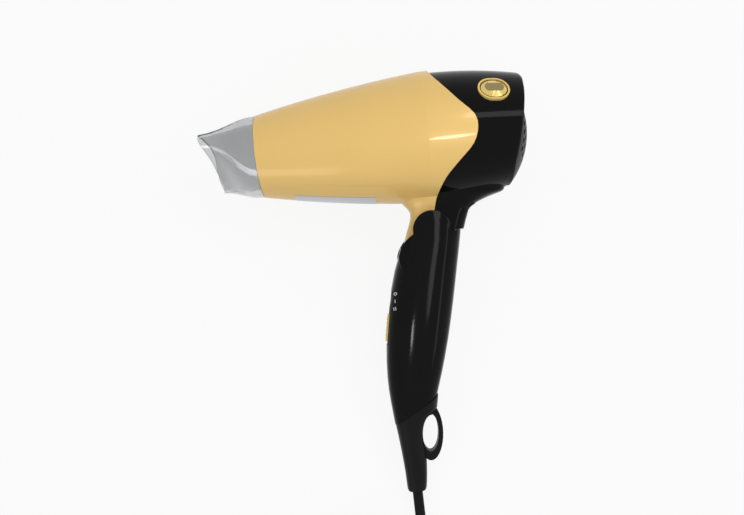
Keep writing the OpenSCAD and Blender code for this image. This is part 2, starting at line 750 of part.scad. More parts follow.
pin_l = 2 * ear_in + 6;
module at_hinge() translate(concat(hinge, [0])) children();
module hinge_pin() color(steel) lay() at_hinge() cylinder(r = pin_r, h = pin_l, center = true);
module hinge_washers() color(steel) lay() for (s = [-1, 1])
  at_hinge() translate([0, 0, s * (neck_t + touch + washer_t / 2)]) difference() {
    cylinder(r = ear_r - 1, h = washer_t, center = true);
    cylinder(r = pin_r + pin_fit, h = 2 * washer_t, center = true);
  }

// Handle: two half shells, with ears that fork round the neck
grip_rows = smooth_line([
  for (g = [grip_top, grip_shoulder, grip_upper, grip_switch, grip_palm, grip_lower, grip_end, grip_past])
    [-hinge_drop - g[0], hinge_x + g[1], hinge_x + g[2], g[3]]
], 2);
function inset_row(r, d) = [r[0], r[1] + d, r[2] - d, r[3] - d];
grip_round = 2.5;
module grip_solid() sections(grip_rows, 36, grip_round);
module grip_inside(d) sections([for (r = grip_rows) inset_row(r, d)], 28, grip_round);
// Line of the seam with the strain relief, through a point on the grip's rear edge
relief_seam = [hinge_x - 8, -hinge_drop - 92];
module above_relief(gap) translate(relief_seam) rotate(relief_slant)
  translate([-through, gap]) square(2 * through);
module grip_outline() {
  translate(hinge) circle(r = ear_r);
  difference() {
    translate([-through, relief_y]) square([2 * through, stop_y - clear - relief_y]);
    translate(hinge + [-ear_r + 0.8, -1.2]) rotate(36.5) translate([-through, 0]) square([through, through]);
  }
}
// Where the corner between neck and barrel, and the neck's front edge, come to when the handle is folded
neck_corner_r = 19.1;
neck_corner_a = 130.8;
neck_edge_a = 261.5;
notch = neck_corner_r * [cos(neck_corner_a + fold_max), sin(neck_corner_a + fold_max)] - [0, 1.3];
module fork_outline() {
  translate(hinge) circle(r = knuckle_r + clear);
  intersection() {
    translate(hinge) circle(r = neck_tip_r + 0.7);
    translate(hinge - [2 * neck_tip_r, 2 * neck_tip_r]) square([2 * neck_tip_r + 5, 4 * neck_tip_r]);
  }
  translate(hinge + notch) rotate(neck_edge_a + fold_max)
    translate([-through, 0]) square([through + 12, through]);
  translate([-through, stop_y - clear]) square([2 * through, through]);
}
handle_bosses = [hinge + [1, -25], hinge + [-18, -83]];
module handle_half(s) difference() {
  intersection() {
    grip_solid();
    union() {
      difference() {
        translate([-through, -3 * through, -through]) cube([2 * through, 3 * through, 2 * through]);
        grip_inside(wall);
      }
      translate(concat(hinge, [s > 0 ? ear_in : -ear_in - ear_t])) cylinder(r = neck_tip_r + 4, h = ear_t);
      for (b = handle_bosses) translate(concat(b, [-through])) cylinder(r = boss_r, h = 2 * through);
      for (p = [[suppressor_c, suppressor_size.z], [clamp_c, clamp_size.z]]) difference() {
        translate(concat(p[0], [-through])) cylinder(r = post_r, h = 2 * through);
        cube([4 * through, 8 * through, p[1] + 2 * touch], center = true);
      }
      at_switch() translate([bezel_depth, -bezel_l / 2 - 2, -bezel_w / 2 - 2])
        cube([bezel_t + pad_t, bezel_l + 4, bezel_w + 4]);
    }
    linear_extrude(2 * through, center = true) intersection() {
      grip_outline();
      above_relief(seat / 2);
    }
    translate([-through, -4 * through, s > 0 ? touch : -2 * through - touch])
      cube([2 * through, 5 * through, 2 * through]);
  }
  translate([0, 0, -ear_in]) linear_extrude(2 * ear_in) fork_outline();
  at_hinge() cylinder(r = pin_r + pin_fit / 2, h = pin_l + 2 * seat, center = true);
  at_switch() {
    translate([-6, -bezel_l / 2 - seat, -bezel_w / 2 - seat])
      cube([6 + bezel_depth + bezel_t, bezel_l + 2 * seat, bezel_w + 2 * seat]);
    translate([-6, -bezel_l / 2 + bezel_lip, -bezel_w / 2 + bezel_lip])
      cube([20, bezel_l - 2 * bezel_lip, bezel_w - 2 * bezel_lip]);
  }
  for (b = handle_bosses) translate(concat(b, [0]))
    cylinder(r = screw_r + touch, h = screw_l + 2 * seat, center = true);
}
screw_l = 14;
ear_t = 4.5;
pad_t = 2;
post_r = 2;
bezel_lip = 2;
module handle_left() color(black) lay() handle_half(1);
module handle_right() color(black) lay() handle_half(-1);
module handle_screws() color(steel) lay() for (b = handle_bosses)
  translate(concat(b, [0])) cylinder(r = screw_r, h = screw_l, center = true);

// Slide switch, in a frame on the grip's front: local Y runs up the grip and local -X looks out
switch_y = -hinge_drop - switch_drop;
switch_front = lookup(-switch_y, [for (r = grip_rows) [-r[0], r[1]]]);
switch_lean = 11;
module at_switch() translate([switch_front, switch_y, 0]) rotate([0, 0, -switch_lean]) children();
slider_y = -bezel_l / 2 + bezel_lip + slider_l / 2;
stem_w = 3;
stem_len = 6;
stem_dip = 1.5;
module switch_bezel() color(black) lay() at_switch() difference() {
  translate([bezel_depth, -bezel_l / 2, -bezel_w / 2]) cube([bezel_t, bezel_l, bezel_w]);
  translate([bezel_depth - over, slider_y - stem_len / 2 - clear, -stem_w / 2 - clear])
    cube([bezel_t + 2 * over, stem_len + slider_travel + 2 * clear, stem_w + 2 * clear]);
}
slider_t = 1.1;
slider_face = bezel_depth - 0.2 - slider_t;
module switch_slider() color(brass) lay() at_switch() translate([0, slider_y, 0]) {
  translate([slider_face, -slider_l / 2, -slider_w / 2]) cube([slider_t, slider_l, slider_w]);
  for (k = [-2 : 2]) translate([slider_face - 0.4, k * 2.2 - 0.5, -slider_w / 2]) cube([0.6, 1, slider_w]);
  translate([slider_face + slider_t / 2, -stem_len / 2, -stem_w / 2])
    cube([body_face + stem_dip - slider_face - slider_t / 2, stem_len, stem_w]);
}
body_face = bezel_depth + bezel_t + pad_t + touch;
body_l = 20;
body_d = 9;
body_w = 12;
module switch_body() color(dark) lay() at_switch() difference() {
  translate([body_face, -body_l / 2, -body_w / 2]) cube([body_d, body_l, body_w]);
  translate([body_face - over, slider_y - stem_len / 2 - clear, -stem_w / 2 - clear])
    cube([over + stem_dip + clear, stem_len + slider_travel + 2 * clear, stem_w + 2 * clear]);
}

// Loose parts inside the grip, each held between two posts
suppressor_size = [14, 8, 8];
suppressor_c = hinge + [-11, -68];
clamp_size = [12, 5, 14];
clamp_c = hinge + [-20, -91];
module suppressor() color("#C7A83A") lay() translate(concat(suppressor_c, [0]))
  cube(suppressor_size, center = true);
module cord_clamp() color(dark) lay() translate(concat(clamp_c, [0])) cube(clamp_size, center = true);
lead_foot_gap = 0.3;
lead_foot = [switch_front, switch_y] +
  turn(-switch_lean) * [body_face + body_d / 2, body_l / 2 + lead_foot_gap];
lead_line = smooth_line([
  lead_foot, lead_foot + turn(-switch_lean) * [0, 5], hinge + [-8, -25], hinge + [-4, -19]
], 3);
module handle_leads() color(lead_red) lay() for (s = [-1, 1])
  wire([for (p = lead_line) [p.x, p.y, s * lead_gap / 2]], lead_r, 8);

// Strain relief with its hang loop, moulded on the cord
relief_rows = smooth_line([
  [-hinge_drop - 88, -40.4, -13.2, 11.2], [-hinge_drop - 98, -39.7, -14.8, 10.2],
  [-hinge_drop - 105, -39, -20.6, 9.2], [-hinge_drop - 112, -38.2, -23.6, 8.2],
  [-hinge_drop - 122, -37.3, -23.6, 7.2], [relief_y + 10, -36.6, -24.4, 6.5],
  [relief_y + relief_round, relief_x - relief_tip_w, relief_x + relief_tip_w, relief_tip_t],
  [relief_y, relief_x - relief_tip_w + 0.8, relief_x + relief_tip_w - 0.8, relief_tip_t - 0.8]
], 2);
loop_c = hinge + [-loop_front, -loop_drop];
loop_lean = 5;
module loop_oval(d) translate(loop_c) rotate(-loop_lean) polygon([
  for (a = [0 : 10 : 350]) [(loop_hole_a + d) * cos(a), (loop_hole_b + 2 * d) * sin(a)]
]);
module strain_relief() color(rubber) lay() difference() {
  union() {
    intersection() {
      sections(relief_rows, 32, grip_round);
      linear_extrude(2 * through, center = true) difference() {
        translate([-through, relief_y - over]) square([2 * through, -relief_y]);
        above_relief(-seat / 2);
      }
    }
    linear_extrude(2 * loop_t, center = true) loop_oval(loop_bar);
  }
  linear_extrude(2 * through, center = true) loop_oval(0);
}

// The flat cord: straight out of the strain relief, then a coil of two layers on edge, then the plug
exit_point = lay_point([relief_x, relief_y, 0]);
turn_step = cord_t + coil_gap;
layer_step = cord_w + coil_gap;
coil_z = tie_t + clear + cord_w / 2;
coil_outer_r = coil_inner_r + turn_step * coil_turns / 2;
run_l = 58;
coil_c = [exit_point.x - coil_outer_r, exit_point.y - run_l];
loop_rings = 24;
coil_steps = round(coil_turns * loop_rings);
// The inmost turn dips inwards where it climbs from the lower layer to the upper one
coil_dip = 1.6;
function coil_point(k) = let (
  u = k / loop_rings,
  off = u - coil_turns / 2,
  r = coil_inner_r + turn_step * abs(off) - coil_dip * (1 - ease((abs(off) - 0.15) / 0.6))
) [
  coil_c.x + r * cos(-360 * u), coil_c.y + r * sin(-360 * u),
  coil_z + layer_step * ease(off / 0.5 + 0.5)
];
coil_line = [for (k = [0 : coil_steps]) coil_point(k)];
function flat_gap(a, b) = max(norm([a.x - b.x, a.y - b.y]) - cord_t, abs(a.z - b.z) - cord_w);
echo(cord_coil_least_gap = min([
  for (i = [0 : coil_steps - loop_rings / 2])
    for (j = [i + loop_rings / 2 : coil_steps])
      flat_gap(coil_line[i], coil_line[j])
]));
// Gap where the run and the tail meet the coil
cord_join = 0.35;
run_line = [
  exit_point, exit_point + [0, -4, -0.6],
  each [for (y = [8 : 4 : run_l - 2]) [exit_point.x, exit_point.y - y, max(coil_z, exit_point.z - 0.15 * y)]],
  coil_line[0] + [0, cord_join, 0]
];
coil_end = coil_line[coil_steps];
plug_z = plug_t / 2;
tail_l = 36;
tail_line = [
  for (k = [0 : 9])
    coil_end + [-cord_join - (tail_l - cord_join) * k / 9, 0, (plug_z - coil_end.z) * ease(k / 9)]
];
// Ring of the flat cord: turn 0 lies flat and turn 90 stands on edge
function flat_ring(p, dir, turn) = let (
  side = unit(cross(dir, [0, 0, 1])), up = unit(cross(side, dir)),
  wide = side * cos(turn) + up * sin(turn), thin = up * cos(turn) - side * sin(turn),
  w = cord_w / 2, t = cord_t / 2
) [
  p + wide * w, p + wide * (w - t * 0.7) + thin * t, p - wide * (w - t * 0.7) + thin * t,
  p - wide * w, p - wide * (w - t * 0.7) - thin * t, p + wide * (w - t * 0.7) - thin * t
];
module flat_cord(p, turns) loft([for (i = [0 : len(p) - 1]) flat_ring(p[i], heading(p, i), turns[i])]);
module cord_run() color(rubber) flat_cord(run_line, [
  for (p = run_line) 90 * ease((exit_point.y - p.y - 12) / 40)
]);
module cord_coil() color(rubber) flat_cord(coil_line, [for (p = coil_line) 90]);
module cord_tail() color(rubber) flat_cord(tail_line, [for (k = [0 : 9]) 90 - 90 * ease(k / 9)]);

// Tie round the coil, on its far side
tie_in = coil_inner_r - coil_dip - cord_t / 2 - clear;
tie_out = coil_outer_r + cord_t / 2 + clear;
tie_h = 2 * cord_w + coil_gap + 2 * clear;
module coil_tie() color(dark) translate([coil_c.x, coil_c.y, 0]) rotate([90, 0, 0])
  linear_extrude(tie_w, center = true) difference() {
    translate([-tie_out - tie_t, 0]) square([tie_out - tie_in + 2 * tie_t, tie_h + 2 * tie_t]);
    translate([-tie_out, tie_t]) square([tie_out - tie_in, tie_h]);
  }

// Two-pin plug lying beside the coil, with its pins towards -X
plug_end = tail_line[9];
plug_neck_l = 16;
module plug_body() color(rubber) translate(plug_end) {
  translate([-plug_neck_l, 0, 0]) rotate([0, 90, 0]) cylinder(r1 = 5.2, r2 = 3.9, h = plug_neck_l);
  hull() {
    translate([-plug_neck_l - 3, 0, 0]) rotate([0, 90, 0]) cylinder(r = 6, h = 3, $fn = 32);
    for (y = [-1, 1]) translate([-plug_neck_l - plug_l, y * (plug_w - plug_t) / 2, 0]) rotate([0, 90, 0])
      cylinder(d = plug_t, h = plug_l - 14, $fn = 32);
  }
}
module plug_pins() color(steel) translate(plug_end - [plug_neck_l + plug_l + plug_pin_l, 0, 0])
  for (y = [-1, 1]) translate([0, y * plug_pin_gap / 2, 0]) tube_x(plug_pin_d / 2, 0, plug_pin_l);

barrel_shell();
rear_housing();
intake_grille();
nozzle();
outlet_guard();
mica_liner();
mica_boards();
heating_coil();
thermal_cutout();
thermal_fuse();
motor_mount();
motor_can();
motor_cap();
rectifier_board();
motor_shaft();
fan_rotor();
button_rim();
push_button();
button_spring();
button_carrier();
button_switch();
housing_screws();
head_leads();
hinge_pin();
hinge_washers();
handle_left();
handle_right();
handle_screws();
switch_bezel();
switch_slider();
switch_body();
suppressor();
cord_clamp();
handle_leads();
strain_relief();
cord_run();
cord_coil();
cord_tail();
coil_tie();
plug_body();
plug_pins();
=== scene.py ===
import bpy
import json
from math import sin, cos, pi, radians, sqrt, hypot
from mathutils import Vector, Matrix


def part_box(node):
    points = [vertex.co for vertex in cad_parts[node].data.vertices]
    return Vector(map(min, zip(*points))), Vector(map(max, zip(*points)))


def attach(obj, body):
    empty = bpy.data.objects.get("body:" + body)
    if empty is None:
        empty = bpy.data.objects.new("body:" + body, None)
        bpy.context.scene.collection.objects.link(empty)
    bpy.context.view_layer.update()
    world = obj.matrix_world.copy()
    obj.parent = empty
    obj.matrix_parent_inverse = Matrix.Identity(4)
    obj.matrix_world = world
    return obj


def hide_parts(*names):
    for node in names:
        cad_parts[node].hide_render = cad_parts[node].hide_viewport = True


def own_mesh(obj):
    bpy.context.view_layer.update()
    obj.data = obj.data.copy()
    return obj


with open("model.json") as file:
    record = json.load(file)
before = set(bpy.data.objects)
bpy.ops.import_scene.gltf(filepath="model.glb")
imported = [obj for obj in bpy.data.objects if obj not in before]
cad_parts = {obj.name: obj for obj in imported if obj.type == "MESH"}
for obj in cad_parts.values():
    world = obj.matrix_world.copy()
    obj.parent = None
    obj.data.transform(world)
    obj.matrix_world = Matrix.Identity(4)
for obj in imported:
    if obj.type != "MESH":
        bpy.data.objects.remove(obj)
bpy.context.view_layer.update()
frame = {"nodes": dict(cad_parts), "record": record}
nodes = frame["nodes"]
scene = bpy.context.scene
scene.view_settings.view_transform = "Standard"
mm = 0.001
dressed = {}  # finished pieces by name

# the dryer is drawn upright in millimetres, then rolled and put down on the floor
lie = {"roll": radians(9.07091), "shift": Vector((37.9, 78.2437, 36.4)) * mm}
layMatrix = Matrix.Translation(lie["shift"]) @ Matrix.Rotation(lie["roll"], 4, "X")
upright = layMatrix.inverted()


def place(x, y, z=0.0):  # an upright point, where it lies
    return layMatrix @ Vector((x * mm, y * mm, z * mm))


def heading(x, y, z):  # an upright direction, as it lies
    return layMatrix.to_3x3() @ Vector((x, y, z))


# camera: square to the plane of symmetry, with the picture rolled
cameraSetup = {"target": (-41.6, -62.9), "distance": 400.0, "roll": radians(6.5), "perPixel": 0.56,
               "pixelsWide": 744, "sensor": 36.0, "near": 0.01}
right = heading(cos(cameraSetup["roll"]), -sin(cameraSetup["roll"]), 0)
up = heading(sin(cameraSetup["roll"]), cos(cameraSetup["roll"]), 0)
back = heading(0, 0, 1)
viewWidth = cameraSetup["perPixel"] * cameraSetup["pixelsWide"]  # mm across the picture at the dryer
cameraData = bpy.data.cameras.new("photoCamera")
cameraData.sensor_width = cameraSetup["sensor"]
cameraData.lens = cameraSetup["sensor"] * cameraSetup["distance"] / viewWidth
cameraData.clip_start = cameraSetup["near"]
camera = bpy.data.objects.new("photoCamera", cameraData)
scene.collection.objects.link(camera)
stand = place(*cameraSetup["target"]) + back * cameraSetup["distance"] * mm
camera.matrix_world = Matrix.Translation(stand) @ Matrix((right, up, back)).transposed().to_4x4()
scene.camera = camera
print("camera set")


def linear(code):  # sRGB hex to linear
    parts = [int(code[i:i + 2], 16) / 255 for i in (1, 3, 5)]
    return tuple(c / 12.92 if c <= 0.04045 else ((c + 0.055) / 1.055) ** 2.4 for c in parts) + (1.0,)


def addNode(tree, kind, settings=None, links=None, **fields):
    node = tree.nodes.new(kind)
    for key, value in fields.items():
        setattr(node, key, value)
    for key, value in (settings or {}).items():
        node.inputs[key].default_value = value
    for key, socket in (links or {}).items():
        tree.links.new(socket, node.inputs[key])
    return node


def newMaterial(name):
    material = bpy.data.materials.new(name)
    material.use_nodes = True
    tree = material.node_tree
    tree.nodes.clear()
    return material, tree


def ease(t):  # from 0 to 1 with soft ends
    t = min(max(t, 0.0), 1.0)
    return t * t * (3 - 2 * t)


def soloSelect(piece):
    bpy.ops.object.select_all(action="DESELECT")
    piece.select_set(True)
    bpy.context.view_layer.objects.active = piece


def faceOutward(piece):
    soloSelect(piece)
    bpy.ops.object.mode_set(mode="EDIT")
    bpy.ops.mesh.select_all(action="SELECT")
    bpy.ops.mesh.normals_make_consistent(inside=False)
    bpy.ops.object.mode_set(mode="OBJECT")


def pullUp(height):  # extrudes what is selected in edit mode
    bpy.ops.mesh.extrude_region_move(TRANSFORM_OT_translate={"value": (0, 0, height * mm)})


def shapeWith(piece, kind, **settings):  # a modifier with its settings, applied at once
    soloSelect(piece)
    modifier = piece.modifiers.new(kind.lower(), kind)
    for key, value in settings.items():
        setattr(modifier, key, value)
    bpy.ops.object.modifier_apply(modifier=modifier.name)


def joinParts(parts):
    soloSelect(parts[0])
    for part in parts[1:]:
        part.select_set(True)
    bpy.ops.object.join()
    return parts[0]


def layDown(piece):  # from the upright drawing to where it lies
    piece.data.transform(layMatrix @ piece.matrix_world)
    piece.matrix_world = Matrix.Identity(4)


def finishPiece(piece, body, slotName, *standsFor):  # place goes into the mesh, then the piece joins its body
    soloSelect(piece)
    piece.data.transform(piece.matrix_world)
    piece.matrix_world = Matrix.Identity(4)
    if standsFor:
        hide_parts(*standsFor)
    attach(piece, body)
    dressed[piece.name] = piece


# flat twin cord: straight out, a tied coil of two layers, then a tail to the plug
cordLay = {"exit": (6.9, -113.824, 5.73578), "width": 5.8, "thick": 3.5, "smooth": 50,
           "run": 58.0, "short": 2.0, "step": 4, "slope": 0.15, "flat": 12.0, "twist": 40.0,  # straight run
           "turns": 7.25, "perTurn": 24, "inner": 24.0, "gap": 0.6, "tie": 1.0, "clear": 0.4,  # coil
           "dip": 1.6, "dipFrom": 0.15, "dipOver": 0.6, "climb": 0.5,  # where it changes layers, in turns
           "tail": 36.0, "tailSteps": 9, "plugThick": 15.0,
           "coreArc": (-130, -95, -55, -18, 18, 55, 95, 130)}


def cordRoute(c):  # points of the route, and how far the flat cord is turned on edge at each
    ex, ey, ez = c["exit"]
    pitch, layer = c["thick"] + c["gap"], c["width"] + c["gap"]
    low = c["tie"] + c["clear"] + c["width"] / 2
    cx, cy = ex - (c["inner"] + pitch * c["turns"] / 2), ey - c["run"]
    reaches = range(0, round(c["run"] - c["short"]) + 1, c["step"])
    run = [(ex, ey - y, max(low, ez - c["slope"] * y)) for y in reaches]
    coil = []
    for k in range(round(c["turns"] * c["perTurn"]) + 1):
        turn = k / c["perTurn"]
        off = turn - c["turns"] / 2  # turns from the middle, where the cord climbs to the upper layer
        r = c["inner"] + pitch * abs(off) - c["dip"] * (1 - ease((abs(off) - c["dipFrom"]) / c["dipOver"]))
        angle = -2 * pi * turn
        coil.append((cx + r * cos(angle), cy + r * sin(angle), low + layer * ease(off / c["climb"] + 0.5)))
    endX, endY, endZ = coil[-1]
    shares = [k / c["tailSteps"] for k in range(1, c["tailSteps"] + 1)]
    rise = c["plugThick"] / 2 - endZ
    tail = [(endX - c["tail"] * t, endY, endZ + rise * ease(t)) for t in shares]
    onEdge = [ease((ey - p[1] - c["flat"]) / c["twist"]) for p in run] + [1.0] * len(coil)
    onEdge += [1 - ease(t) for t in shares]
    return [Vector(p) * mm for p in run + coil + tail], [t * pi / 2 for t in onEdge]


def twinSection(c):  # outline of two cores side by side
    r = c["thick"] / 2
    offset = c["width"] / 2 - r
    half = [(offset + r * cos(radians(a)), r * sin(radians(a))) for a in c["coreArc"]]
    return half + [(-x, -y) for x, y in half]


def buildCord(c):
    path, turns = cordRoute(c)
    outline = twinSection(c)
    points, faces = [], []
    count = len(outline)
    for i, p in enumerate(path):
        along = (path[min(i + 1, len(path) - 1)] - path[max(i - 1, 0)]).normalized()
        side = along.cross(Vector((0, 0, 1))).normalized()
        high = side.cross(along).normalized()
        wide = side * cos(turns[i]) + high * sin(turns[i])
        thin = high * cos(turns[i]) - side * sin(turns[i])
        points += [p + wide * a * mm + thin * b * mm for a, b in outline]
    for i in range(len(path) - 1):
        for j in range(count):
            a, b = i * count + j, i * count + (j + 1) % count
            faces.append((a, b, b + count, a + count))
    faces.append(tuple(range(count - 1, -1, -1)))
    faces.append(tuple(range(len(points) - count, len(points))))
    mesh = bpy.data.meshes.new("mainsCord")
    mesh.from_pydata(points, [], faces)
    mesh.update()
    cord = bpy.data.objects.new("mainsCord", mesh)
    scene.collection.objects.link(cord)
    faceOutward(cord)
    bpy.ops.object.shade_smooth_by_angle(angle=radians(c["smooth"]))
    return cord, path


mainsCord, cordPath = buildCord(cordLay)
cordLength = sum((b - a).length for a, b in zip(cordPath, cordPath[1:]))
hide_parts("cord_run", "cord_coil", "cord_tail")
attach(mainsCord, "handle")
print("cord laid", round(cordLength, 3))

mergeReach = 0.02  # mm within which a solid's loose corners become one


def smoothedShell(name, node, angle):  # a merged copy of a solid, shaded smooth between its edges
    source = nodes[node]
    shell = bpy.data.objects.new(name, source.data.copy())
    scene.collection.objects.link(shell)
    shell.matrix_world = source.matrix_world.copy()
    soloSelect(shell)
    bpy.ops.object.mode_set(mode="EDIT")
    bpy.ops.mesh.select_all(action="SELECT")
    bpy.ops.mesh.remove_doubles(threshold=mergeReach * mm)
    bpy.ops.object.mode_set(mode="OBJECT")
    if shell.data.has_custom_normals:
        bpy.ops.mesh.customdata_custom_splitnormals_clear()
    bpy.ops.object.shade_smooth_by_angle(angle=radians(angle))
    return shell


# solid, body, slot, and the angle up to which it is shaded smooth
shells = {"gripLeft": ("handle_left", "handle", "black_gloss", 32),
          "gripRight": ("handle_right", "handle", "black_gloss", 32),
          "cordBoot": ("strain_relief", "handle", "black_rubber", 45),
          "clearNozzle": ("nozzle", "nozzle", "clear_plastic", 40),
          "goldBarrel": ("barrel_shell", "head", "gold_gloss", 32),
          "rearCap": ("rear_housing", "head", "black_gloss", 32)}
for name, (node, body, slotName, angle) in shells.items():
    finishPiece(smoothedShell(name, node, angle), body, slotName, node)
print("shells smoothed", len(dressed))

# the nozzle's lower lip hangs a little fuller and its corner is rounded back
nozzleLip = {"base": -97.3, "long": 30.0, "drop": 2.8, "back": 4.5, "deep": 12.0}
for vertex in dressed["clearNozzle"].data.vertices:
    spot = upright @ vertex.co
    along = min(max((nozzleLip["base"] - spot.x / mm) / nozzleLip["long"], 0.0), 1.0)
    low = ease(-spot.y / mm / nozzleLip["deep"])
    spot.y -= nozzleLip["drop"] * ease(along) * low * mm
    spot.x += nozzleLip["back"] * along ** 3 * low ** 2 * mm
    vertex.co = layMatrix @ spot
print("nozzle lip rounded")

trimAngle = 40  # degrees up to which the small trim is shaded smooth
easing = {"segments": 3, "sharp": 50}  # round of a plate's edges


def plateOf(name, outline, bottom, top, edge):  # a flat outline drawn up into a plate with eased edges
    bpy.ops.object.select_all(action="DESELECT")
    bpy.ops.mesh.primitive_circle_add(vertices=len(outline), radius=mm, fill_type="NGON")
    plate = bpy.context.object
    plate.name = name
    for vertex, (x, y) in zip(plate.data.vertices, outline):
        vertex.co = Vector((x, y, bottom)) * mm
    bpy.ops.object.mode_set(mode="EDIT")
    bpy.ops.mesh.select_all(action="SELECT")
    pullUp(top - bottom)
    bpy.ops.object.mode_set(mode="OBJECT")
    faceOutward(plate)
    shapeWith(plate, "BEVEL", width=edge * mm, segments=easing["segments"], limit_method="ANGLE",
              angle_limit=radians(easing["sharp"]))
    return plate


# cheeks that carry the grip's shoulder forward, clear of the neck between them
cheek = {"inner": 11.25, "outer": 12.4, "deep": 5.0, "rootTop": 12.3, "edge": 0.5,
         "outline": [(-17.7, -52.8), (-20.1, -54.2), (-22.5, -56.1), (-24.3, -58.3), (-25.9, -60.8),
                     (-27.1, -63.9), (-27.2, -66.5), (-26.6, -70.0), (-25.6, -74.0), (-24.4, -77.5),
                     (-21.0, -77.0), (-16.0, -66.0), (-14.0, -56.0), (-15.6, -53.2)],
         "root": [(-25.6, -61.4), (-26.8, -63.9), (-26.9, -66.5), (-26.3, -70.0), (-25.3, -74.0),
                  (-24.2, -77.0), (-21.0, -76.0), (-19.0, -62.0)]}
for name, side in (("cheekUpper", 1), ("cheekLower", -1)):
    plate = plateOf(name, cheek["outline"], cheek["inner"], cheek["outer"], cheek["edge"])
    root = plateOf(name + "Root", cheek["root"], cheek["deep"], cheek["rootTop"], cheek["edge"])
    cheekPiece = joinParts([plate, root])
    if side < 0:  # the lower cheek is the mirror image
        cheekPiece.data.transform(Matrix.Scale(-1, 4, (0, 0, 1)))
        cheekPiece.data.flip_normals()
    bpy.ops.object.shade_smooth_by_angle(angle=radians(trimAngle))
    layDown(cheekPiece)
    finishPiece(cheekPiece, "handle", "black_gloss")
print("cheeks set")

# a seal on top of the grip's rear wall closes the slit below the neck, and stays clear when the neck lifts
neckSeal = {"bottom": -53.4, "top": -52.76, "edge": 0.1,
            "outer": [(6.0, 10.4), (6.7, 9.3), (7.3, 8.5), (7.8, 7.2), (8.3, 6.3), (8.6, 4.8), (8.9, 3.7),
                      (9.0, 1.5)],
            "inner": [(7.4, 1.6), (7.2, 3.9), (6.9, 5.0), (6.4, 6.6), (6.0, 8.0)]}
sealOutline = neckSeal["outer"] + [(x, -z) for x, z in reversed(neckSeal["outer"])]
sealOutline += [(x, -z) for x, z in reversed(neckSeal["inner"])] + neckSeal["inner"]
sealPiece = plateOf("neckSeal", sealOutline, neckSeal["bottom"], neckSeal["top"], neckSeal["edge"])
sealPiece.data.transform(Matrix.Rotation(radians(-90), 4, "X"))  # drawn flat, then turned to face up the neck
bpy.ops.object.shade_smooth_by_angle(angle=radians(trimAngle))
layDown(sealPiece)
finishPiece(sealPiece, "handle", "black_gloss")
print("neck sealed")

# plugs that close the two screw wells at the rear of the neck, trimmed to its curve
wellPlug = {"x": 7.8, "y": -42.0, "z": 6.2, "r": 2.55, "long": 5.0, "sides": 32, "sunk": 0.05,
            "feel": 3.0, "core": 0.5, "eye": 120.0}  # how the neck's curve is felt for, from behind


def neckSkin(y, z):  # where the neck's rear skin stands
    hit, spot, normal, face = dressed["rearCap"].ray_cast(place(wellPlug["eye"], y, z), heading(-1, 0, 0))
    return (upright @ spot).x / mm if hit else None


def plugTop(side, y, z):  # level of the skin just outside the well, this way from its middle or all round
    spread = hypot(y, z)
    ways = [(y / spread, z / spread)] if spread > wellPlug["core"] else [(1, 0), (-1, 0), (0, 1), (0, -1)]
    skins = [neckSkin(wellPlug["y"] + a * wellPlug["feel"], side * wellPlug["z"] + b * wellPlug["feel"])
             for a, b in ways]
    return sum(skins) / len(skins) - wellPlug["sunk"]


for name, side in (("wellPlugUpper", 1), ("wellPlugLower", -1)):
    bpy.ops.object.select_all(action="DESELECT")
    bpy.ops.mesh.primitive_circle_add(vertices=wellPlug["sides"], radius=wellPlug["r"] * mm,
                                      fill_type="TRIFAN")
    plug = bpy.context.object
    plug.name = name
    bpy.ops.object.mode_set(mode="EDIT")
    bpy.ops.mesh.select_all(action="SELECT")
    pullUp(wellPlug["long"])
    bpy.ops.object.mode_set(mode="OBJECT")
    for vertex in plug.data.vertices:
        z, y, height = vertex.co / mm
        x = plugTop(side, y, z) if height > wellPlug["long"] / 2 else wellPlug["x"]
        vertex.co = Vector((x, wellPlug["y"] + y, side * wellPlug["z"] + z)) * mm
    faceOutward(plug)
    bpy.ops.object.shade_smooth_by_angle(angle=radians(trimAngle))
    layDown(plug)
    finishPiece(plug, "head", "black_gloss")
print("wells plugged")

# the slide knob keeps its ribs but stands less proud of its bezel
slideKnob = {"at": (1.23086, -17.5432, 21.1073), "along": (0.190809, 0.969351, 0.15476), "proud": 0.2,
             "keep": 0.4, "smooth": 30}
knob = smoothedShell("slideKnob", "switch_slider", slideKnob["smooth"])
knobOut = heading(0, 0, 1).cross(Vector(slideKnob["along"])).normalized()  # out of the grip's front
for vertex in knob.data.vertices:
    excess = (vertex.co - Vector(slideKnob["at"]) * mm).dot(knobOut) / mm - slideKnob["proud"]
    if excess > 0:
        vertex.co -= knobOut * excess * (1 - slideKnob["keep"]) * mm
finishPiece(knob, "slider", "gold_plated", "switch_slider")
print("knob lowered")

# wound and drawn wires: rounder copies of the solids' own forms
wireAngle = 75
wires = {"heaterCoil": ("heating_coil", "head", "heating_wire"),
         "returnSpring": ("button_spring", "head", "steel"),
         "headLeads": ("head_leads", "head", "lead_sleeve"),
         "gripLeads": ("handle_leads", "handle", "lead_sleeve")}
for name, (node, body, slotName) in wires.items():
    wireCopy = smoothedShell(name, node, wireAngle)
    shapeWith(wireCopy, "SUBSURF", levels=1, render_levels=1)
    finishPiece(wireCopy, body, slotName, node)
print("wires rounded")

# faceted jewel of the push button, in the frame of the sloping rim
jewel = {"at": (69.1, 90.6001, 67.0924), "normal": (0.134186, 0.370081, 0.919257), "half": (7.0, 5.8),
         "table": (0.76, 0.6, 0.48), "sink": 0.3, "rise": 1.7, "girdle": 0.4, "corners": 24,
         "tableLevel": 0.99, "tableArea": 20.0}  # the last two tell the table from the facets
jewelOut = Vector(jewel["normal"]).normalized()


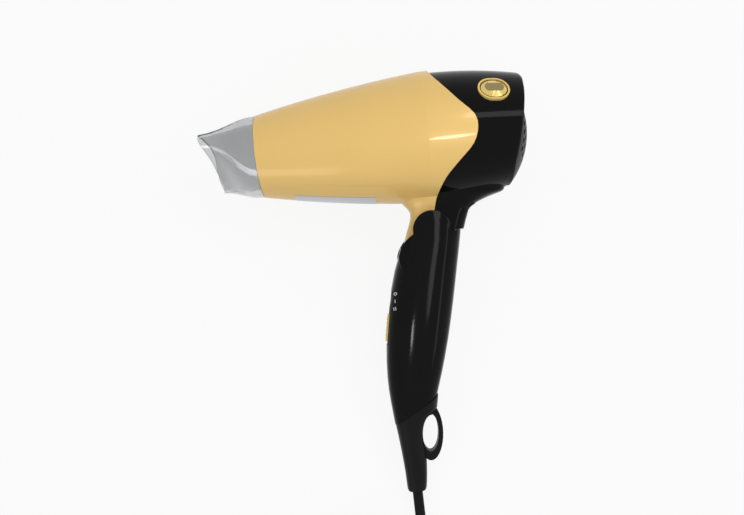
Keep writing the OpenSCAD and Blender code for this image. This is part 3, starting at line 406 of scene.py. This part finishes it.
def jewelFrame(j):  # local X along the barrel, local Z out of the housing
    along = (Vector((1, 0, 0)) - jewelOut * jewelOut.x).normalized()
    axes = Matrix((along, jewelOut.cross(along), jewelOut)).transposed()
    return Matrix.Translation(Vector(j["at"]) * mm) @ axes.to_4x4()


def tableReach(j, way):  # distance to the edge of the long six-sided table, this way from its middle
    point, side = j["half"][0] * j["table"][0], j["half"][0] * j["table"][1]
    width = j["half"][1] * j["table"][2]
    along, across = abs(way.x), abs(way.y)
    toPoint = point / (along + across * (point - side) / width)
    return toPoint if across * toPoint < width else width / across


bpy.ops.object.select_all(action="DESELECT")
bpy.ops.mesh.primitive_circle_add(vertices=jewel["corners"], radius=mm, fill_type="NGON",
                                  location=(0, 0, -jewel["sink"] * mm))
jewelStone = bpy.context.object
jewelStone.name = "jewelButton"
bpy.ops.object.transform_apply(location=True, rotation=False, scale=False)
bpy.ops.object.mode_set(mode="EDIT")
bpy.ops.mesh.select_all(action="SELECT")
bpy.ops.transform.resize(value=(jewel["half"][0], jewel["half"][1], 1))
pullUp(jewel["sink"] + jewel["girdle"])
pullUp(jewel["rise"] - jewel["girdle"])
bpy.ops.object.mode_set(mode="OBJECT")
for vertex in jewelStone.data.vertices:
    if vertex.co.z > (jewel["girdle"] + jewel["rise"]) / 2 * mm:  # the top ring draws in to the table
        way = Vector((vertex.co.x, vertex.co.y)).normalized()
        reach = tableReach(jewel, way) * mm
        vertex.co.x, vertex.co.y = way.x * reach, way.y * reach
faceOutward(jewelStone)
jewelStone.data.transform(jewelFrame(jewel))
finishPiece(jewelStone, "button", "gold_plated", "push_button")
print("jewel cut")

# bare silver sticker round the underside of the barrel
sticker = {"from": -80.0, "to": -36.0, "halfAngle": 22.0, "stands": 0.14, "thick": 0.12, "columns": 40,
           "rows": 24}
barrelArc = {"front": (22.9, -97.0), "rear": (36.4, -6.0), "crown": 1.4}  # radius and place of both ends


def arcThrough(a, b, rise):  # centre and radius of an arc in radius and length
    dr, dx = b[0] - a[0], b[1] - a[1]
    span = hypot(dr, dx)
    r = span * span / (8 * rise) + rise / 2
    return (a[0] + b[0]) / 2 - dx / span * (r - rise), (a[1] + b[1]) / 2 + dr / span * (r - rise), r


def barrelRadius(x):
    cr, cx, r = arcThrough(barrelArc["front"], barrelArc["rear"], barrelArc["crown"])
    return cr + sqrt(r * r - (x - cx) ** 2)


bpy.ops.object.select_all(action="DESELECT")
bpy.ops.mesh.primitive_grid_add(x_subdivisions=sticker["columns"], y_subdivisions=sticker["rows"], size=2)
silverSticker = bpy.context.object
silverSticker.name = "silverSticker"
for vertex in silverSticker.data.vertices:
    along = sticker["from"] + (sticker["to"] - sticker["from"]) * (vertex.co.x + 1) / 2
    turn = radians(sticker["halfAngle"] * vertex.co.y)
    reach = barrelRadius(along) + sticker["stands"]
    vertex.co = Vector((along, -reach * cos(turn), -reach * sin(turn))) * mm
faceOutward(silverSticker)
if silverSticker.data.polygons[0].normal.y > 0:  # an open sheet, so its outside is the one facing down
    silverSticker.data.flip_normals()
shapeWith(silverSticker, "SOLIDIFY", thickness=sticker["thick"] * mm, offset=-1)
bpy.ops.object.shade_smooth_by_angle(angle=radians(trimAngle))
layDown(silverSticker)
finishPiece(silverSticker, "head", "steel")
print("sticker laid")

# printed marks beside the slide switch: a ring, one bar and two bars, pressed on the curved grip
switchMarks = {"at": (-31.2, -80.8), "step": 4.1, "lean": -0.6, "apart": 0.5, "tall": 1.8, "line": 0.4,
               "above": 30.0, "barGrid": (3, 8), "ringSides": 32, "stands": 0.05, "ink": 0.04}


def markSpot(row, aside=0.0):  # drawn above the grip, each row leaning with its edge
    x, y = switchMarks["at"]
    x += row * switchMarks["lean"] + aside
    y -= row * switchMarks["step"]
    return x * mm, y * mm, switchMarks["above"] * mm


def markBar(spot):
    columns, rows = switchMarks["barGrid"]
    bpy.ops.object.select_all(action="DESELECT")
    bpy.ops.mesh.primitive_grid_add(x_subdivisions=columns, y_subdivisions=rows, size=1, location=spot)
    bar = bpy.context.object
    bar.scale = (switchMarks["line"] * mm, switchMarks["tall"] * mm, 1)
    bpy.ops.object.transform_apply(location=True, rotation=False, scale=True)
    return bar


def markRing(spot):
    bpy.ops.object.select_all(action="DESELECT")
    bpy.ops.mesh.primitive_circle_add(vertices=switchMarks["ringSides"], radius=switchMarks["tall"] / 2 * mm,
                                      fill_type="NGON", location=spot)
    ring = bpy.context.object
    bpy.ops.object.transform_apply(location=True, rotation=False, scale=False)
    bpy.ops.object.mode_set(mode="EDIT")
    bpy.ops.mesh.select_all(action="SELECT")
    bpy.ops.mesh.inset(thickness=switchMarks["line"] * mm, depth=0)
    bpy.ops.mesh.delete(type="ONLY_FACE")
    bpy.ops.object.mode_set(mode="OBJECT")
    return ring


markParts = [markRing(markSpot(0)), markBar(markSpot(1))]
markParts += [markBar(markSpot(2, side * switchMarks["apart"])) for side in (-1, 1)]
marks = joinParts(markParts)
marks.name = "switchMarks"
layDown(marks)
upperGrip = "gripRight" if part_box("handle_right")[1][2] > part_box("handle_left")[1][2] else "gripLeft"
shapeWith(marks, "SHRINKWRAP", target=dressed[upperGrip], wrap_method="PROJECT", use_project_z=True,
          use_negative_direction=True, use_positive_direction=False, offset=switchMarks["stands"] * mm)
shapeWith(marks, "SOLIDIFY", thickness=switchMarks["ink"] * mm, offset=0)
finishPiece(marks, "handle", "white_plastic")
print("marks printed")

# a row for each finish: two shades, roughness and its spread, grain and relief in mm, fixed sockets
finishes = {
    # sprayed metallic paint under a clear coat: pearly body, sharp streaks; flakes drawn coarser to show
    "pearlGoldLacquer": (("#DCB870", "#D5B065"), (0.36, 0.05), 0.6, 0.002,
                         {"Metallic": 0.1, "Coat Weight": 0.4, "Coat Roughness": 0.05,
                          "Specular IOR Level": 0.15}),
    # moulded in a polished tool: clear, slightly wavy reflections; a low level keeps it deep in a white room
    "glossBlackAbs": (("#08080A", "#0C0C0D"), (0.1, 0.03), 6.0, 0.006,
                      {"IOR": 1.53, "Specular IOR Level": 0.07}),
    # moulded in a spark-eroded tool: fine pebbled grain on the grille and the bezel
    "satinBlackNylon": (("#101010", "#1E1E1E"), (0.42, 0.1), 0.7, 0.05,
                        {"IOR": 1.53, "Specular IOR Level": 0.1}),
    # moulded inner parts with glass fibre: dull, faintly mottled
    "darkGlassFilledNylon": (("#262626", "#333333"), (0.5, 0.1), 0.9, 0.02, {"IOR": 1.53}),
    # clear moulding: see-through with bright edges and flow waves
    "smokyPolycarbonate": (("#C6C7C8", "#CDCECE"), (0.03, 0.02), 8.0, 0.02,
                           {"Transmission Weight": 0.94, "IOR": 1.5}),
    # vacuum plated under lacquer: bright facets, rim and slide knob
    "goldPlatedAbs": (("#EACB70", "#DDB75C"), (0.16, 0.05), 2.5, 0.003,
                      {"Metallic": 0.2, "Coat Weight": 0.5, "Coat Roughness": 0.05}),
    # polished table of the jewel over foil: deep olive
    "amberAcrylic": (("#94834A", "#86753E"), (0.08, 0.03), 3.0, 0.002, {"IOR": 1.49}),
    # pressed flakes: warm mottling
    "phlogopiteMica": (("#C8B89A", "#A8926A"), (0.45, 0.15), 1.8, 0.04, {"IOR": 1.58, "Sheen Weight": 0.1}),
    # drawn wire oxidised by heat: dull streaks
    "nichromeWire": (("#9A9690", "#6E6A66"), (0.38, 0.1), 1.2, 0.01, {"Metallic": 1.0}),
    # plated pins, screws, spring and motor can: bright with faint crystals
    "zincPlatedSteel": (("#B8BCC0", "#9EA3A8"), (0.3, 0.1), 1.5, 0.008, {"Metallic": 1.0}),
    # moulded motor cap and fuse: soft sheen
    "whiteNylon": (("#E6E6DE", "#DAD9CF"), (0.4, 0.08), 1.5, 0.01, {"IOR": 1.53}),
    # lacquer over copper: uneven gloss
    "greenSolderResist": (("#3C6B3A", "#2F5730"), (0.3, 0.1), 1.0, 0.02, {"IOR": 1.5}),
    # dipped in epoxy: smooth, a little uneven
    "yellowFilmCapacitor": (("#C7A83A", "#B8982E"), (0.25, 0.08), 1.5, 0.01, {"IOR": 1.5}),
    # drawn rubber sleeve of the leads: matt
    "siliconeSleeve": (("#B03A2E", "#9C3026"), (0.5, 0.1), 0.8, 0.01, {"IOR": 1.43}),
    # moulded on the cord and plug: even, slightly greasy sheen
    "softPvc": (("#0C0C0C", "#141414"), (0.36, 0.08), 0.8, 0.015, {"IOR": 1.54, "Specular IOR Level": 0.1}),
    # turned and polished plug pins: near mirror
    "nickelPlatedBrass": (("#C8CACC", "#B4B7BA"), (0.16, 0.06), 1.2, 0.004, {"Metallic": 1.0}),
    # metallised film of the sticker: soft mirror
    "silverFoil": (("#C2C4C6", "#B2B5B8"), (0.3, 0.06), 1.0, 0.004, {"Metallic": 0.8}),
    # pad printed marks: thin and matt
    "whiteInk": (("#D2D2CE", "#BDBDB8"), (0.5, 0.1), 0.5, 0.003, {"IOR": 1.5}),
}
surface = {"detail": 3.0, "crisp": 0.55, "bump": 0.5, "lift": 0.2,  # fine grain
           "drift": 45.0, "driftDetail": 1.0, "driftLow": 0.3, "driftHigh": 0.7,  # slow change, size in mm
           "smoothest": 0.01}


def makeFinish(name, shades, roughness, grainSize, depth, sockets):
    material, tree = newMaterial(name)
    coords = addNode(tree, "ShaderNodeTexCoord").outputs["Object"]
    grain = addNode(tree, "ShaderNodeTexNoise", {"Scale": 1 / mm / grainSize, "Detail": surface["detail"],
                                                 "Roughness": surface["crisp"]}, {"Vector": coords})
    drift = addNode(tree, "ShaderNodeTexNoise", {"Scale": 1 / mm / surface["drift"],
                                                 "Detail": surface["driftDetail"]}, {"Vector": coords})
    both = addNode(tree, "ShaderNodeMath", {2: surface["lift"]},
                   {0: grain.outputs["Fac"], 1: drift.outputs["Fac"]}, operation="MULTIPLY_ADD")
    shade = addNode(tree, "ShaderNodeMix", {6: linear(shades[0]), 7: linear(shades[1])},
                    {0: both.outputs[0]}, data_type="RGBA")
    middle, spread = roughness
    rough = addNode(tree, "ShaderNodeMapRange",
                    {"From Min": surface["driftLow"], "From Max": surface["driftHigh"],
                     "To Min": max(middle - spread, surface["smoothest"]), "To Max": middle + spread},
                    {"Value": drift.outputs["Fac"]})
    relief = addNode(tree, "ShaderNodeBump", {"Strength": surface["bump"], "Distance": depth * mm},
                     {"Height": grain.outputs["Fac"]})
    body = addNode(tree, "ShaderNodeBsdfPrincipled", sockets,
                   {"Base Color": shade.outputs[2], "Roughness": rough.outputs[0],
                    "Normal": relief.outputs[0]})
    addNode(tree, "ShaderNodeOutputMaterial", links={"Surface": body.outputs[0]})
    return material


paints = {name: makeFinish(name, *row) for name, row in finishes.items()}
slotPaint = {"gold_gloss": "pearlGoldLacquer", "black_gloss": "glossBlackAbs",
             "black_satin": "satinBlackNylon", "dark_plastic": "darkGlassFilledNylon",
             "clear_plastic": "smokyPolycarbonate", "gold_plated": "goldPlatedAbs", "mica": "phlogopiteMica",
             "heating_wire": "nichromeWire", "steel": "zincPlatedSteel", "white_plastic": "whiteNylon",
             "board": "greenSolderResist", "film_capacitor": "yellowFilmCapacitor",
             "lead_sleeve": "siliconeSleeve", "black_rubber": "softPvc", "plated_pins": "nickelPlatedBrass"}
slotOf = {sub["node"]: sub["material_slot"] for sub in frame["record"]["subparts"]}


def paint(piece, finish):
    piece.data.materials.clear()
    piece.data.materials.append(paints[finish])


for node, thing in nodes.items():  # a solid's mesh stays as it is, only its slots change
    for slot in thing.material_slots:
        slot.material = paints[slotPaint[slotOf[node]]]
for name, row in {**shells, **wires}.items():
    paint(dressed[name], slotPaint[row[2]])
trimPaint = {"jewelButton": "goldPlatedAbs", "slideKnob": "goldPlatedAbs", "cheekUpper": "glossBlackAbs",
             "cheekLower": "glossBlackAbs", "neckSeal": "glossBlackAbs", "wellPlugUpper": "glossBlackAbs",
             "wellPlugLower": "glossBlackAbs", "silverSticker": "silverFoil", "switchMarks": "whiteInk"}
for name, finish in trimPaint.items():
    paint(dressed[name], finish)
paint(mainsCord, "softPvc")
jewelStone.data.materials.append(paints["amberAcrylic"])
for face in jewelStone.data.polygons:  # the flat table is the clear stone, the facets are plated
    if face.normal.dot(jewelOut) > jewel["tableLevel"] and face.area > jewel["tableArea"] * mm * mm:
        face.material_index = 1
print("finishes on", len(paints))

# the button's spring gets a mesh of its own
spring = dressed["returnSpring"]
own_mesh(spring)

# pale room and floor: light of the room, white share of the floor, its colour under the shadow
studio = {"room": 0.76, "white": 0.9, "matt": 0.7, "floorSize": 6.0, "floorDrop": 0.5, "middle": (-40, -60)}


def backdropRays(tree):  # the eye, gloss and clear pieces all meet the white background
    ray = addNode(tree, "ShaderNodeLightPath")
    direct = addNode(tree, "ShaderNodeMath", operation="MAXIMUM",
                     links={0: ray.outputs["Is Camera Ray"], 1: ray.outputs["Is Glossy Ray"]})
    return addNode(tree, "ShaderNodeMath", operation="MAXIMUM",
                   links={0: direct.outputs[0], 1: ray.outputs["Is Transmission Ray"]})


world = bpy.data.worlds.new("studioWorld")
scene.world = world
world.use_nodes = True
worldTree = world.node_tree
worldTree.nodes.clear()
level = addNode(worldTree, "ShaderNodeMix", {2: studio["room"], 3: 1.0},
                {0: backdropRays(worldTree).outputs[0]}, data_type="FLOAT")
sky = addNode(worldTree, "ShaderNodeBackground", {"Color": (1, 1, 1, 1)}, {"Strength": level.outputs[0]})
addNode(worldTree, "ShaderNodeOutputWorld", links={"Surface": sky.outputs[0]})

bpy.ops.object.select_all(action="DESELECT")
bpy.ops.mesh.primitive_plane_add(size=studio["floorSize"], location=(0, 0, -studio["floorDrop"] * mm))
floor = bpy.context.object
floor.name = "paleFloor"
floorPaint, tree = newMaterial("paleFloorPaint")  # matt paint: mostly plain white, keeps the shadow
share = addNode(tree, "ShaderNodeMath", {1: studio["white"]}, {0: backdropRays(tree).outputs[0]},
                operation="MULTIPLY")
matt = addNode(tree, "ShaderNodeBsdfDiffuse", {"Color": (studio["matt"],) * 3 + (1,)})
glow = addNode(tree, "ShaderNodeEmission", {"Color": (1, 1, 1, 1), "Strength": 1.0})
blendFloor = addNode(tree, "ShaderNodeMixShader", {},
                     {0: share.outputs[0], 1: matt.outputs[0], 2: glow.outputs[0]})
addNode(tree, "ShaderNodeOutputMaterial", links={"Surface": blendFloor.outputs[0]})
floor.data.materials.append(floorPaint)

# direction from the dryer's middle in the upright drawing, distance, width and height in metres,
# radiance, outline, and the pieces lit where a highlight belongs to them alone
grips = ("gripLeft", "gripRight")
softboxes = {
    "windowSoftbox": ((0.52, 0.36, 0.76), 1.0, (0.5, 0.15), 4.6, "RECTANGLE", ()),
    "sideSoftbox": ((0.71, -0.1, 0.69), 0.9, (0.1, 0.7), 2.6, "RECTANGLE", ()),
    "frontSoftbox": ((-0.5, -0.69, 0.52), 1.0, (0.4, 0.3), 2.0, "RECTANGLE", ()),
    # its narrow ends draw the tapered streak
    "lampStrip": ((0.23, -0.13, 0.96), 1.0, (0.27, 0.1), 17.0, "ELLIPSE", ("goldBarrel",)),
    "noseSoftbox": ((-0.62, -0.66, 0.46), 0.9, (0.9, 0.34), 3.2, "RECTANGLE", ("clearNozzle",)),
    "gripSoftbox": ((0.25, 0.0, 0.96), 1.0, (0.15, 0.5), 4.0, "ELLIPSE", grips),
    "gripStrip": ((-0.12, -0.22, 0.96), 1.0, (0.05, 0.1), 40.0, "ELLIPSE", grips)}


def hangSoftbox(name, direction, distance, size, radiance, outline, litPieces):
    light = bpy.data.lights.new(name, "AREA")
    light.shape = outline
    light.size, light.size_y = size
    light.energy = radiance * pi * size[0] * size[1]
    lamp = bpy.data.objects.new(name, light)
    scene.collection.objects.link(lamp)
    reach = heading(*direction).normalized()
    lamp.location = place(*studio["middle"]) + reach * distance
    barrelWay = heading(1, 0, 0)
    wide = (barrelWay - reach * barrelWay.dot(reach)).normalized()  # the lamp's width lies along the barrel
    lamp.rotation_euler = Matrix((wide, reach.cross(wide), reach)).transposed().to_euler()
    if litPieces:
        lamp.light_linking.receiver_collection = bpy.data.collections.new(name + "Lit")
        for piece in litPieces:
            lamp.light_linking.receiver_collection.objects.link(dressed[piece])


for name, row in softboxes.items():
    hangSoftbox(name, *row)
print("studio lit")
